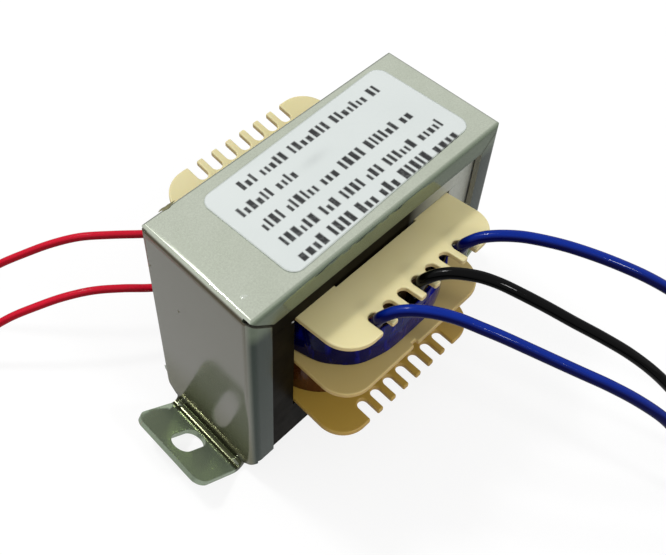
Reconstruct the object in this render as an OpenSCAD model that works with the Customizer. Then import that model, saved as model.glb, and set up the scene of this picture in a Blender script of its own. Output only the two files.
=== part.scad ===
// Laminated chassis transformer: an EI core with a three-flange bobbin, held in a folded steel
// bracket with two screw feet, with two leads on its primary side and three on its secondary side.
// X runs along the bracket, Y through the stack of sheets and Z up. The origin is on the surface
// that the feet stand on, in the middle of the bracket. Millimetres.

/* [Core] */
// Width of the centre leg, from which a lamination takes its other sizes
leg_w = 19; // [16:0.5:23]
// Thickness of one steel sheet
sheet_t = 0.5; // [0.35:0.05:0.65]
// Number of sheets in the stack
sheet_count = 45; // [32:1:56]
// Varnish left between two sheets
sheet_gap = 0.02; // [0.01:0.01:0.05]
// Gap at the butt joint of an E sheet and its I sheet
butt_gap = 0.05; // [0.02:0.01:0.2]

/* [Bracket] */
// Thickness of the bracket's steel
strap_t = 1.0; // [0.8:0.1:1.2]
// Gap between the bracket and the core
strap_gap = 0.25; // [0.02:0.01:0.3]
// Height of the core's underside over the surface
core_lift = 4.0; // [3.4:0.1:6]
// Outer radius of the bends between the top and the ends
end_bend_r = 1.7; // [1.2:0.1:2.2]
// Outer radius of the bends along the top lips
top_lip_r = 1.3; // [1.2:0.1:2]
// Outer radius of the bends along the end lips
end_lip_r = 1.8; // [1.2:0.1:2.2]
// Inner radius of all of those bends, which are pressed tight against the core
inner_bend_r = 0.15; // [0.05:0.05:0.15]
// Depth of the top lips
top_lip_d = 4.8; // [3:0.1:6]
// Width of the end lips
end_lip_w = 4.7; // [3:0.1:6]
// Height of the end lips' lower edge over the core's underside
lip_rise = 2.3; // [1:0.1:5]
// Width of the gap along a closed mitre between two lips
mitre_gap = 0.25; // [0.1:0.05:0.6]
// Width of the gap along the one mitre that stands open
open_mitre_gap = 0.6; // [0.25:0.05:1]

/* [Feet] */
// Width of a foot
foot_w = 18.6; // [14:0.1:20]
// Length of a foot along its sheet, from the end panel's face to the tip
foot_len = 12.2; // [11:0.1:15]
// Upward tilt of the feet
foot_rise = 38; // [20:1:45]
// Inner radius of the bend at a foot
foot_bend_r = 1.0; // [0.6:0.1:1.2]
// Corner radius of a foot
foot_corner_r = 2.4; // [1:0.1:4]
// Width of the screw slot
slot_hole_w = 4.6; // [3.6:0.1:5]
// Length of the screw slot, which runs outwards
slot_hole_len = 8.0; // [6:0.1:8]
// Distance of the screw slot's middle along the sheet, from the end panel's face
slot_hole_reach = 6.2; // [6.2:0.1:7]

/* [Bobbin] */
// Wall of the tube round the centre leg
tube_t = 1.0; // [0.8:0.1:1.4]
// Gap between the tube and the centre leg
leg_fit = 0.3; // [0.1:0.05:0.6]
// Gap between the flanges and the outer legs
flange_fit = 0.4; // [0.2:0.05:1]
// Gap between the end flanges and the yokes
yoke_fit = 0.2; // [0.1:0.05:0.4]
// Thickness of a flange
flange_t = 1.2; // [0.8:0.1:1.6]
// Reach of the flanges beyond the stack
flange_reach = 11.8; // [10:0.1:14]
// Outer corner radius of a flange
flange_corner_r = 5.6; // [3:0.1:6]
// Upward splay of the top flange's wings
top_splay = 7.5; // [0:0.5:10]
// Downward splay of the bottom flange's wings
bottom_splay = 2.5; // [0:0.5:2.5]
// Number of wire slots in a comb
slot_count = 7; // [3:1:7]
// Distance between two slots
slot_pitch = 3.42; // [3.3:0.02:3.6]
// Width of a slot
slot_w = 2.1; // [2.1:0.05:2.3]
// Depth of a slot
slot_d = 3.9; // [3:0.1:4.5]
// Width of the small notch in the middle flange
index_w = 1.1; // [0.6:0.1:2]
// Depth of that notch
index_d = 0.7; // [0.4:0.1:1.5]

/* [Windings] */
// Gap between a winding and the bobbin
wire_fit = 0.05; // [0.02:0.01:0.1]
// Gap between a winding's ends and the flanges
end_margin = 0.25; // [0.1:0.05:0.5]
// Gap between the outermost turns and the outer legs
window_fit = 0.85; // [0.6:0.05:1.5]
// Build of the primary winding over the tube, in front and behind
primary_build = 4.2; // [2:0.1:5]
// Share of the secondary's build that lies under the interlayer tape
inner_share = 0.5; // [0.3:0.05:0.7]
// Build of the secondary winding over the tube, in front and behind
secondary_build = 4.9; // [2:0.1:5.2]
// Thickness of a wrap of tape
tape_t = 0.25; // [0.15:0.05:0.4]
// Gap between a tape and what it is wrapped on
tape_fit = 0.03; // [0.02:0.01:0.1]
// Bulge of the primary's tape over its splices, at the back
primary_bulge = 3.0; // [2.4:0.1:4]
// Bulge of the secondary's tape over its splices, in front
secondary_bulge = 3.6; // [3:0.1:4]
// Width of the secondary's tape, narrower than its section so the leads can leave over it
secondary_tape_w = 9.0; // [7:0.1:9.6]

/* [Leads] */
// Diameter of a secondary lead
secondary_lead_d = 2.0; // [1.8:0.05:2.05]
// Diameter of a primary lead
primary_lead_d = 1.6; // [1.2:0.05:1.7]
// Diameter of the bare tinned strands at a secondary lead's end
secondary_tip_d = 1.2; // [0.8:0.05:1.4]
// Diameter of the bare tinned strands at a primary lead's end
primary_tip_d = 0.9; // [0.6:0.05:1.1]
// Length of the stripped ends
tip_len = 6; // [4:0.5:10]
// Diameter of a solder splice
splice_d = 1.3; // [1:0.05:1.4]
// Length of a solder splice
splice_len = 4; // [3:0.5:4.5]

/* [Label] */
// Length of the label
label_len = 44.1; // [30:0.1:46]
// Width of the label
label_w = 21.2; // [15:0.1:21.4]
// Thickness of the label
label_t = 0.15; // [0.1:0.05:0.3]
// Corner radius of the label
label_corner_r = 2.4; // [1:0.1:4]
// Offset of the label's middle along the bracket
label_shift = 2.7; // [0:0.1:3]
// Turn of the label
label_turn = 1.9; // [0:0.1:3]

/* [Hidden] */
$fn = 48;

// The core, from the centre leg's width
lam_w = 3 * leg_w;
lam_h = 2.5 * leg_w;
yoke_h = leg_w / 2;
window_w = leg_w / 2;
window_h = 1.5 * leg_w;
window_outer = leg_w / 2 + window_w;
sheet_pitch = sheet_t + sheet_gap;
stack_half = (sheet_count * sheet_pitch - sheet_gap) / 2;

// The bracket, from the core
half_l = lam_w / 2 + strap_gap + strap_t;
half_w = stack_half + strap_gap + strap_t;
top_z = core_lift + lam_h + strap_gap + strap_t;
lip_z = core_lift + lip_rise;
notch_z = lip_z - 0.6;

// The feet: the bend's centre, and the sheet's length lost to the bend
bend_x = half_l + foot_bend_r;
bend_z = foot_bend_r + strap_t;
bend_turn = 90 + foot_rise;
bend_loss = foot_bend_r * tan(bend_turn / 2);
foot_flat = foot_len - bend_loss;
root_z = bend_z + 0.2;
root_y = foot_w / 2 + 0.1;
panel_low_z = bend_z + 0.5;
foot_top_z = bend_z + 1.2;
bend_steps = 20;

// The bobbin, from the core
tube_x = leg_w / 2 + leg_fit + tube_t;
tube_y = stack_half + leg_fit + tube_t;
flange_x = window_outer - flange_fit;
flange_y = stack_half + flange_reach;
hinge_y = stack_half + leg_fit;
slot_root = flange_y - slot_d;
comb_x = (slot_count - 1) / 2 * slot_pitch + slot_w / 2;
bobbin_z = core_lift + yoke_h + yoke_fit;
bobbin_h = window_h - 2 * yoke_fit;
section_h = (bobbin_h - 3 * flange_t) / 2;
middle_z = bobbin_z + flange_t + section_h;
top_flange_z = bobbin_z + bobbin_h - flange_t;

// The windings, from the bobbin
wound_x = window_outer - window_fit;
primary_z = bobbin_z + flange_t + end_margin;
secondary_z = middle_z + flange_t + end_margin;
wound_h = section_h - 2 * end_margin;
primary_y = tube_y + primary_build;
secondary_y = tube_y + secondary_build;
inner_x = tube_x + (wound_x - tube_x) * inner_share;
inner_y = tube_y + (secondary_y - tube_y) * inner_share;
// How square the windings' corners are, on the left and on the right
square_left = 3.0;
square_right = 2.45;
// How square the turns near the tube are
square_inside = 4.5;

// The leads' routes, from the splice under the tape to the end of the insulation
blue_left_route = [[-10.26, -18.3, 33], [-10.26, -18.3, 36.6], [-10.26, -18.55, 38.1],
    [-10.26, -19.3, 39.5], [-10.26, -20.3, 40.7], [-10.26, -20.95, 41.9], [-10.26, -21.3, 43],
    [-10.22, -21.6, 43.9], [-9.75, -22.3, 45], [-8.8, -23.3, 46], [-7.6, -24.8, 46.8],
    [-6.2, -26.7, 47.2], [-4.8, -28.7, 47.2], [-3.2, -31.1, 46.7], [-1.5, -33.7, 45.6],
    [0.5, -36.7, 44.2], [2.7, -39.9, 42.4], [5.1, -43.4, 40.4], [7.7, -47.3, 38.3],
    [10.5, -51.4, 36], [13.5, -55.8, 32.9], [16.5, -60.2, 28.6], [19, -63.6, 22.4],
    [21.2, -66.6, 15.6], [23.4, -69.6, 9], [26, -73, 3.8], [29.8, -76.6, 1.3], [35, -79.6, 1],
    [41, -81.4, 1], [47, -81.8, 1], [52.6, -80.6, 1], [57, -77.4, 1]];
black_route = [[0, -20.1, 33], [0, -20.1, 38], [0, -20.3, 39.6], [0, -20.75, 40.9],
    [0, -21.05, 42], [0, -21.3, 43], [0.04, -21.6, 43.9], [0.5, -22.3, 45], [1.4, -23.3, 45.9],
    [2.6, -24.8, 46.6], [3.9, -26.7, 46.9], [5.3, -28.6, 46.7], [7, -31.1, 45.8], [9, -34.1, 44.1],
    [11.4, -37.6, 41.8], [14, -41.5, 39.1], [16.8, -45.6, 36.3], [19.8, -50, 32.9],
    [22.8, -54.4, 28.4], [25.6, -58.5, 22.8], [28.1, -62, 16.4], [30.6, -65.4, 10],
    [33.4, -68.8, 4.4], [37, -72, 1.5], [42, -74.6, 1], [47.6, -75.4, 1], [52.8, -74, 1],
    [56.4, -70.2, 1], [58.2, -65.2, 1]];
blue_right_route = [[10.26, -17.4, 33], [10.26, -17.4, 36.2], [10.26, -17.55, 37.6],
    [10.26, -18.25, 38.85], [10.26, -19.35, 39.9], [10.26, -20.4, 41], [10.26, -21, 42.1],
    [10.26, -21.35, 43.1], [10.3, -21.6, 43.9], [10.75, -22.3, 45], [11.7, -23.3, 46],
    [12.9, -24.8, 46.8], [14.3, -26.7, 47.4], [15.7, -28.7, 47.7], [17.2, -31, 47.7],
    [19.4, -34.2, 47.2], [21.8, -37.8, 46.2], [24.4, -41.7, 44.7], [27.2, -45.9, 42.6],
    [30.2, -50.3, 39.4], [33.2, -54.4, 34.6], [36, -58, 28.4], [38.4, -60.8, 21.4],
    [40.6, -63, 14.2], [43, -65, 7.4], [46.2, -66.8, 2.6], [50.4, -67, 1], [53.6, -64, 1],
    [54.6, -59.4, 1]];
red_upper_route = [[-4, 18.2, 19.4], [-4, 18.2, 20.4], [-4.2, 18.3, 21.6], [-4.9, 18.7, 22.7],
    [-6.1, 19.5, 23.4], [-7.9, 20.8, 23.9], [-10.4, 22.7, 24.2], [-14.6, 25.9, 24.7],
    [-19.3, 29.5, 25.2], [-24, 33.4, 25.5], [-28.6, 37.3, 25.3], [-33, 41, 23.6],
    [-37.4, 44.6, 21], [-41.6, 48.2, 17.9], [-45.4, 51.4, 14], [-49, 54.2, 9.4],
    [-52.8, 56.8, 4.8], [-57.2, 59, 1.8], [-62.6, 60.2, 0.8], [-68.4, 59.8, 0.8],
    [-73.4, 57.4, 0.8], [-76.8, 53.2, 0.8], [-78, 48, 0.8]];
red_lower_route = [[-8, 17.9, 20.2], [-8, 17.9, 19.4], [-8.25, 17.9, 18.3], [-9, 17.9, 17.3],
    [-10.2, 18.1, 16.6], [-12, 18.5, 16.1], [-14.4, 19.3, 16], [-17.2, 20.5, 16.2],
    [-19.9, 21.9, 16.5], [-22.9, 23.6, 16.9], [-27.4, 26.7, 18], [-32, 29.9, 18.5],
    [-36.8, 33.2, 17.6], [-41.4, 36.4, 15.6], [-45.8, 39.6, 13], [-50, 42.4, 9.6],
    [-54, 44.8, 5.6], [-58.4, 46.8, 2.3], [-63, 47.8, 0.8], [-67.6, 46.8, 0.8], [-70.8, 43.4, 0.8],
    [-72, 38.8, 0.8], [-71.6, 34, 0.8], [-70, 29.6, 0.8]];
// A direction that each bundle of leads never points along, to square the tubes' sides to
front_across = [0.18, 0.38, 0.91];
rear_across = [0.15, 0.55, -0.82];

// A rectangle with round corners from its low corner to its high corner
module round_rect(low, high, r) {
    translate([low.x + r, low.y]) square([high.x - low.x - 2 * r, high.y - low.y]);
    translate([low.x, low.y + r]) square([high.x - low.x, high.y - low.y - 2 * r]);
    for (x = [low.x + r, high.x - r], y = [low.y + r, high.y - r]) translate([x, y]) circle(r);
}

// Stands a drawing of X and Z up, and gives it a width along Y
module along_y(width) {
    rotate([90, 0, 0]) linear_extrude(width, center = true) children();
}

// Stands a drawing of Y and Z up, and gives it a length along X
module along_x(length) {
    rotate([90, 0, 90]) linear_extrude(length, center = true) children();
}

// The bracket's outside (inset 0) or inside (inset of one sheet), open downwards
module bracket_block(inset) {
    low_z = panel_low_z - (inset > 0 ? 1 : 0);
    spare = end_bend_r + 1;
    x = half_l - inset;
    y = half_w - inset;
    z = top_z - inset;
    inside = inset > 0;
    intersection() {
        along_y(2 * y) round_rect([-x, low_z - spare], [x, z], inside ? inner_bend_r : end_bend_r);
        along_x(2 * x) round_rect([-y, low_z - spare], [y, z], inside ? inner_bend_r : top_lip_r);
        translate([0, 0, low_z]) linear_extrude(z - low_z)
            round_rect([-x, -y], [x, y], inside ? inner_bend_r : end_lip_r);
    }
}

// Cuts the end panels in to the feet's width below the lips
module foot_notches() {
    for (side = [-1, 1]) along_x(2 * half_l + 2)
        polygon([[side * (half_w + 1), 0], [side * (half_w + 1), notch_z], [side * half_w, notch_z],
            [side * root_y, root_z], [side * root_y, 0]]);
}

// Cuts the slit of one mitre, from the lips' inner corner out through the bracket's corner
module mitre(side_x, side_y, gap) {
    depth = 2 * end_lip_r;
    reach = 14;
    run_in = 2;
    translate([side_x * (half_l - end_lip_w), side_y * half_w, top_z - top_lip_d])
        rotate([0, -side_x * 45, 0]) translate([side_x * (reach / 2 - run_in), 0, 0])
            cube([reach, depth, gap], center = true);
}

// The foot's side view on the right: the end panel's foot, the bend and the flat, as X and Z
function foot_arc(r) = [for (i = [0 : bend_steps])
    let (a = -bend_turn * i / bend_steps) [bend_x - r * cos(a), bend_z + r * sin(a)]];
function foot_tip(r) = [bend_x + r * sin(foot_rise) + (foot_flat + 1) * cos(foot_rise),
    bend_z - r * cos(foot_rise) + (foot_flat + 1) * sin(foot_rise)];

// Lays a piece in the right foot's plane, with its origin where the flat of the underside starts
module in_foot() {
    translate([bend_x, 0, bend_z]) rotate([0, -foot_rise, 0]) translate([0, 0, -foot_bend_r - strap_t])
        children();
}

// One foot on the right, with the bend that joins it to the end panel
module foot() {
    span = 40;
    difference() {
        intersection() {
            along_y(foot_w + 2) polygon(concat([[half_l, foot_top_z]], foot_arc(foot_bend_r),
                [foot_tip(foot_bend_r), foot_tip(foot_bend_r + strap_t)],
                [for (i = [bend_steps : -1 : 0]) foot_arc(foot_bend_r + strap_t)[i]],
                [[half_l - strap_t, foot_top_z]]));
            in_foot() translate([0, 0, -span / 2]) linear_extrude(span)
                round_rect([foot_flat - span, -foot_w / 2], [foot_flat, foot_w / 2], foot_corner_r);
        }
        in_foot() translate([slot_hole_reach - bend_loss, 0, -1]) linear_extrude(strap_t + 2) {
            square([slot_hole_len - slot_hole_w, slot_hole_w], center = true);
            for (side = [-1, 1]) translate([side * (slot_hole_len - slot_hole_w) / 2, 0]) circle(slot_hole_w / 2);
        }
    }
}

module clamp_bracket() color("#A9B0A2") {
    difference() {
        bracket_block(0);
        bracket_block(strap_t);
        // The open middle of the front and the back
        translate([-(half_l - end_lip_w), -half_w - 1, 0])
            cube([2 * (half_l - end_lip_w), 2 * half_w + 2, top_z - top_lip_d]);
        // The end lips stop above the feet
        translate([-half_l + strap_t, -half_w - 1, 0]) cube([2 * (half_l - strap_t), 2 * half_w + 2, lip_z]);
        foot_notches();
        for (side_x = [-1, 1], side_y = [-1, 1])
            mitre(side_x, side_y, side_x < 0 && side_y < 0 ? open_mitre_gap : mitre_gap);
    }
    foot();
    mirror([1, 0, 0]) foot();
}

module rating_label() color("#E6ECE8") {
    translate([label_shift, 0, top_z]) rotate([0, 0, label_turn]) linear_extrude(label_t)
        round_rect([-label_len / 2, -label_w / 2], [label_len / 2, label_w / 2], label_corner_r);
}

// One E sheet with its yoke at the bottom, as a drawing of X and Z from its own corner
module e_outline() {
    translate([-lam_w / 2, 0]) square([lam_w, yoke_h]);
    for (x = [-lam_w / 2, lam_w / 2 - yoke_h]) translate([x, 0]) square([yoke_h, yoke_h + window_h]);
    translate([-leg_w / 2, 0]) square([leg_w, yoke_h + window_h]);
}

// Every second sheet of the stack, from the first or from the second
module every_second_sheet(first) {
    for (i = [first : 2 : sheet_count - 1])
        translate([0, -stack_half + i * sheet_pitch + sheet_t / 2, core_lift]) along_y(sheet_t) children();
}

module e_sheets_yoke_down() color("#4B4439") every_second_sheet(0) e_outline();

module e_sheets_yoke_up() color("#4B4439") every_second_sheet(1)
    translate([0, lam_h]) mirror([0, 1]) e_outline();

module i_sheets_top() color("#443D33") every_second_sheet(0)
    translate([-lam_w / 2, yoke_h + window_h + butt_gap]) square([lam_w, yoke_h - butt_gap]);

module i_sheets_bottom() color("#443D33") every_second_sheet(1)
    translate([-lam_w / 2, 0]) square([lam_w, yoke_h - butt_gap]);

// A flange's outline, round at its four corners
module flange_outline() {
    round_rect([-flange_x, -flange_y], [flange_x, flange_y], flange_corner_r);
}

// The wire slots of one comb, at the front of a flange, with round roots
module comb_slots() {
    for (i = [0 : slot_count - 1]) translate([(i - (slot_count - 1) / 2) * slot_pitch, 0]) {
        translate([0, -slot_root - slot_w / 2]) circle(slot_w / 2);
        translate([-slot_w / 2, -flange_y - 5]) square([slot_w, 5 + slot_d - slot_w / 2]);
    }
}

// One end flange, with its two wings splayed up (or down) from a line just outside the stack
module end_flange(splay) {
    far_y = flange_y + 1;
    rise = (far_y - hinge_y) * tan(splay);
    deep = flange_reach;
    intersection() {
        along_x(2 * flange_x + 2) polygon([[-far_y, rise], [-hinge_y, 0], [hinge_y, 0], [far_y, rise],
            [far_y, rise + flange_t], [hinge_y, flange_t], [-hinge_y, flange_t], [-far_y, rise + flange_t]]);
        translate([0, 0, -deep]) linear_extrude(2 * deep) difference() {
            flange_outline();
            comb_slots();
            rotate(180) comb_slots();
        }
    }
}

module middle_flange() {
    linear_extrude(flange_t) difference() {
        flange_outline();
        for (side = [-1, 1]) translate([-index_w - 0.7, side * flange_y - index_d]) square([index_w, 2 * index_d]);
    }
}

module bobbin() color("#CFC79C") difference() {
    union() {
        translate([-tube_x, -tube_y, bobbin_z]) cube([2 * tube_x, 2 * tube_y, bobbin_h]);
        translate([0, 0, bobbin_z]) end_flange(-bottom_splay);
        translate([0, 0, middle_z]) middle_flange();
        translate([0, 0, top_flange_z]) end_flange(top_splay);
    }
    translate([-tube_x + tube_t, -tube_y + tube_t, bobbin_z - 1])
        cube([2 * (tube_x - tube_t), 2 * (tube_y - tube_t), bobbin_h + 2]);
}

// A wound outline: a superellipse with its own depth in front and behind
function wound_points(half_x, front_y, rear_y, left, right, steps = 72) = [for (i = [0 : steps - 1])
    let (a = 360 * i / steps, c = cos(a), s = sin(a), power = 2 / (c < 0 ? left : right))
    [sign(c) * half_x * pow(abs(c), power), (s < 0 ? front_y : rear_y) * sign(s) * pow(abs(s), power)]];

module wound(half_x, front_y, rear_y, left = square_left, right = square_right)
    polygon(wound_points(half_x, front_y, rear_y, left, right));

// The squarer outline of the turns near the tube
module inner_wound(gap) {
    wound(inner_x - gap, inner_y - gap, inner_y - gap, square_inside, square_inside);
}

// The tube's outline with a winding's fit round it
module tube_hole(fit) {
    square([2 * (tube_x + fit), 2 * (tube_y + fit)], center = true);
}

module primary_winding() color("#8A4A1E") translate([0, 0, primary_z]) linear_extrude(wound_h) difference() {
    wound(wound_x - tape_t - tape_fit, primary_y, primary_y);
    tube_hole(wire_fit);
}

// A closed wrap of tape, given by its outer depth in front and behind
module tape_wrap(half_x, front_y, rear_y) difference() {
    wound(half_x, front_y, rear_y);
    wound(half_x - tape_t, front_y - tape_t, rear_y - tape_t);
}

module primary_tape() color("#9A6A2C") translate([0, 0, primary_z]) difference() {
    linear_extrude(wound_h)
        tape_wrap(wound_x, primary_y + tape_t + tape_fit, primary_y + primary_bulge);
    // The leads leave through two openings at the back
    translate([-11, primary_y - 2, 6.2]) cube([7, 8, 4]);
    translate([-17.6, primary_y - 5, -1]) cube([9, 11, 5]);
}

module secondary_inner_winding() color("#A8642C") translate([0, 0, secondary_z]) linear_extrude(wound_h)
    difference() {
        inner_wound(tape_t + tape_fit);
        tube_hole(wire_fit);
    }

module interlayer_tape() color("#C9A24B") translate([0, 0, secondary_z]) linear_extrude(wound_h)
    difference() {
        inner_wound(0);
        inner_wound(tape_t);
    }

module secondary_outer_winding() color("#A8642C") translate([0, 0, secondary_z]) linear_extrude(wound_h)
    difference() {
        wound(wound_x - tape_t - tape_fit, secondary_y, secondary_y);
        inner_wound(-tape_fit);
    }

module secondary_tape() color("#101060") translate([0, 0, secondary_z]) linear_extrude(secondary_tape_w)
    tape_wrap(wound_x, secondary_y + secondary_bulge, secondary_y + tape_t + tape_fit);

// A solder splice that runs straight on behind the start of a lead
module splice(route) {
    drop = route[1].z > route[0].z ? splice_len : 0;
    translate(route[0] - [0, 0, drop]) cylinder(d = splice_d, h = splice_len);
}

module primary_splices() color("#B9B9B4")
    for (route = [red_upper_route, red_lower_route]) splice(route);

module secondary_splices() color("#B9B9B4")
    for (route = [blue_left_route, black_route, blue_right_route]) splice(route);

function unit(v) = v / norm(v);

// The direction of a route at its point i
function heading(route, i) = unit(route[min(i + 1, len(route) - 1)] - route[max(i - 1, 0)]);

// The ring of a tube round its route's point i, square to the route
function ring(route, i, r, across, sides) =
    let (along = heading(route, i), side = unit(cross(along, across)), up = cross(side, along))
    [for (k = [0 : sides - 1]) route[i] + r * (cos(360 * k / sides) * side + sin(360 * k / sides) * up)];

// A lead: one closed tube swept along its route
module lead(route, d, across) {
    sides = 8;
    last = len(route) - 1;
    points = [for (i = [0 : last]) each ring(route, i, d / 2, across, sides)];
    walls = [for (i = [0 : last - 1], k = [0 : sides - 1])
        let (a = i * sides + k, b = i * sides + (k + 1) % sides) each [[a, b, b + sides], [a, b + sides, a + sides]]];
    caps = [[for (k = [sides - 1 : -1 : 0]) k], [for (k = [0 : sides - 1]) last * sides + k]];
    polyhedron(points, concat(walls, caps), convexity = 6);
}

// The bare tinned strands beyond a lead's end, on the surface
module tip(route, d) {
    end = route[len(route) - 1];
    along = heading(route, len(route) - 1);
    translate(end) rotate([0, 90, atan2(along.y, along.x)]) cylinder(d = d, h = tip_len);
}

module blue_lead_left() color("#0A1E8C") lead(blue_left_route, secondary_lead_d, front_across);
module black_lead() color("#101010") lead(black_route, secondary_lead_d, front_across);
module blue_lead_right() color("#0A1E8C") lead(blue_right_route, secondary_lead_d, front_across);
module red_lead_upper() color("#B01220") lead(red_upper_route, primary_lead_d, rear_across);
module red_lead_lower() color("#B01220") lead(red_lower_route, primary_lead_d, rear_across);

module blue_tip_left() color("#C4C4C0") tip(blue_left_route, secondary_tip_d);
module black_tip() color("#C4C4C0") tip(black_route, secondary_tip_d);
module blue_tip_right() color("#C4C4C0") tip(blue_right_route, secondary_tip_d);
module red_tip_upper() color("#C4C4C0") tip(red_upper_route, primary_tip_d);
module red_tip_lower() color("#C4C4C0") tip(red_lower_route, primary_tip_d);

clamp_bracket();
rating_label();
e_sheets_yoke_down();
e_sheets_yoke_up();
i_sheets_top();
i_sheets_bottom();
bobbin();
primary_winding();
primary_tape();
secondary_inner_winding();
interlayer_tape();
secondary_outer_winding();
secondary_tape();
primary_splices();
secondary_splices();
blue_lead_left();
black_lead();
blue_lead_right();
red_lead_upper();
red_lead_lower();
blue_tip_left();
black_tip();
blue_tip_right();
red_tip_upper();
red_tip_lower();
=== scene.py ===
"""The looks of a small laminated chassis transformer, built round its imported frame.

Lengths are millimetres, and MM turns them into the frame's metres. X runs from foot to foot, Y
through the stack of sheets and Z up, and the feet stand on z = 0.
"""

import bmesh
import bpy
import numpy as np
from mathutils import Matrix, Vector


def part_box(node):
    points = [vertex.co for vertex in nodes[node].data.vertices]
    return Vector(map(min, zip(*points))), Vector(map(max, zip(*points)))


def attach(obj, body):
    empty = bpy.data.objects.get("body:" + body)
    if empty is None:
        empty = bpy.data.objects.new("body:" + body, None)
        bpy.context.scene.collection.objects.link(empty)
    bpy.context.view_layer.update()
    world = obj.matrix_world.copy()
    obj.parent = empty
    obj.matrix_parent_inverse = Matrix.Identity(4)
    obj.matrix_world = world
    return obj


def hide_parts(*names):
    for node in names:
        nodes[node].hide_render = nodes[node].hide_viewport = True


MM = 0.001
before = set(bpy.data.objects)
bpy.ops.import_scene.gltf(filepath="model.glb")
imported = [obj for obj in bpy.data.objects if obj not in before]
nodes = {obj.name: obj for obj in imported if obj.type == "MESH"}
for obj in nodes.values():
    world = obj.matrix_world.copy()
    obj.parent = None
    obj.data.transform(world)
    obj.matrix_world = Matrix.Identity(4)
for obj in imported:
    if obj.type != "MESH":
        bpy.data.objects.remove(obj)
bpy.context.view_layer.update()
bpy.context.scene.view_settings.view_transform = "Standard"

# The bracket's faces: its side lips, its top, and its ends, which lie outside the core by the
# core's play and the strap's thickness
BRACKET_SIDE, BRACKET_TOP = (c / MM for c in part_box("clamp_bracket")[1].yz)
CORE_PLAY, STRAP = 0.25, 1.0
BRACKET_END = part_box("e_sheets_yoke_down")[1].x / MM + CORE_PLAY + STRAP


# ---------------------------------------------------------------- camera

def place_camera(azimuth, elevation, roll, target, offset, lens, shift):
    """A camera that looks at target from azimuth and elevation: its axes are right (cos a, sin a, 0),
    back (sin a cos e, -cos a cos e, sin e) and up = back x right, turned by roll about back. It
    stands offset away from target along those axes."""
    a, e, r = np.radians([azimuth, elevation, roll])
    back = np.array([np.sin(a) * np.cos(e), -np.cos(a) * np.cos(e), np.sin(e)])
    right = np.array([np.cos(a), np.sin(a), 0])
    level = np.stack([right, np.cross(back, right), back])
    turn = np.array([[np.cos(r), np.sin(r), 0], [-np.sin(r), np.cos(r), 0], [0, 0, 1]])
    axes = turn @ level
    place = np.array(target) + axes.T @ np.array(offset)
    data = bpy.data.cameras.new("camera")
    data.sensor_width = 36
    data.lens = lens
    data.shift_x, data.shift_y = shift
    data.clip_start = 10 * MM
    camera = bpy.data.objects.new("camera", data)
    bpy.context.scene.collection.objects.link(camera)
    camera.matrix_world = Matrix.Translation(Vector(place * MM)) @ Matrix(axes.T.tolist()).to_4x4()
    bpy.context.scene.camera = camera


place_camera(azimuth=-41.36, elevation=48.14, roll=-1.96, target=(0, 0, 25),
             offset=(-13.27, 20.32, 176.35), lens=51.2627, shift=(0.123063, -0.177297))


# ---------------------------------------------------------------- surfaces

def skin(name, grids, finishes, round_rows=False, round_columns=False, layers=None):
    """One smooth mesh of quads over grids of points (grids, rows, columns, 3) in millimetres.
    Rows or columns that go round are joined at their ends, and points that meet become one.
    layers are numbers for each point that the finish reads by name."""
    points = np.asarray(grids, float)
    if points.ndim == 3:
        points = points[None]
    index = np.arange(points[..., 0].size).reshape(points.shape[:3])
    if round_rows:
        index = np.concatenate([index, index[:, :1]], 1)
    if round_columns:
        index = np.concatenate([index, index[:, :, :1]], 2)
    quads = np.stack([index[:, :-1, :-1], index[:, :-1, 1:], index[:, 1:, 1:], index[:, 1:, :-1]], -1)
    mesh = bpy.data.meshes.new(name)
    mesh.from_pydata((points.reshape(-1, 3) * MM).tolist(), [], quads.reshape(-1, 4).tolist())
    for key, values in (layers or {}).items():
        layer = mesh.attributes.new(key, "FLOAT", "POINT")
        layer.data.foreach_set("value", np.broadcast_to(values, points.shape[:3]).astype(np.float32).ravel())
    return settle(name, mesh, finishes, turn_out=True)


def settle(name, mesh, finishes, turn_out=False, sharp=40, flatten=None):
    """Merges the points that meet, turns closed shells outwards, smooths all but the sharp edges
    and gives the mesh its object at the origin. flatten joins faces that meet at less than so
    many degrees."""
    work = bmesh.new()
    work.from_mesh(mesh)
    bmesh.ops.remove_doubles(work, verts=work.verts, dist=MM / 1000)
    if flatten:
        bmesh.ops.dissolve_limit(work, angle_limit=np.radians(flatten), verts=work.verts, edges=work.edges)
    if turn_out:
        bmesh.ops.recalc_face_normals(work, faces=work.faces)
    work.to_mesh(mesh)
    work.free()
    mesh.shade_smooth()
    mesh.set_sharp_from_angle(angle=np.radians(sharp))
    for finish in finishes:
        mesh.materials.append(finish)
    piece = bpy.data.objects.new(name, mesh)
    bpy.context.scene.collection.objects.link(piece)
    return piece


def eased_copy(node, name, finishes, edge, segments=2, clamp=False, sharp=35):
    """A merged copy of a node's mesh with its edges sharper than sharp degrees rounded by edge
    millimetres. The last finish goes on the rounded edges."""
    source = nodes[node].data
    points = np.empty(len(source.vertices) * 3)
    corners = np.empty(len(source.loops), int)
    source.vertices.foreach_get("co", points)
    source.loops.foreach_get("vertex_index", corners)
    mesh = bpy.data.meshes.new(name)
    mesh.from_pydata(points.reshape(-1, 3).tolist(), [], corners.reshape(-1, 3).tolist())
    piece = settle(name, mesh, finishes, sharp=sharp, flatten=1)
    bevel = piece.modifiers.new("eased edges", "BEVEL")
    bevel.width = edge * MM
    bevel.segments = segments
    bevel.limit_method = "ANGLE"
    bevel.angle_limit = np.radians(sharp)
    bevel.use_clamp_overlap = clamp
    bevel.harden_normals = True
    bevel.material = len(finishes) - 1
    return piece


def fit(piece, slot, *replaced):
    """The piece rides on the one body and stands for the nodes it replaces, which are hidden. Its
    slot is not used.
    """
    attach(piece, "root")
    if replaced:
        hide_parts(*replaced)
    return piece


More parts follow.
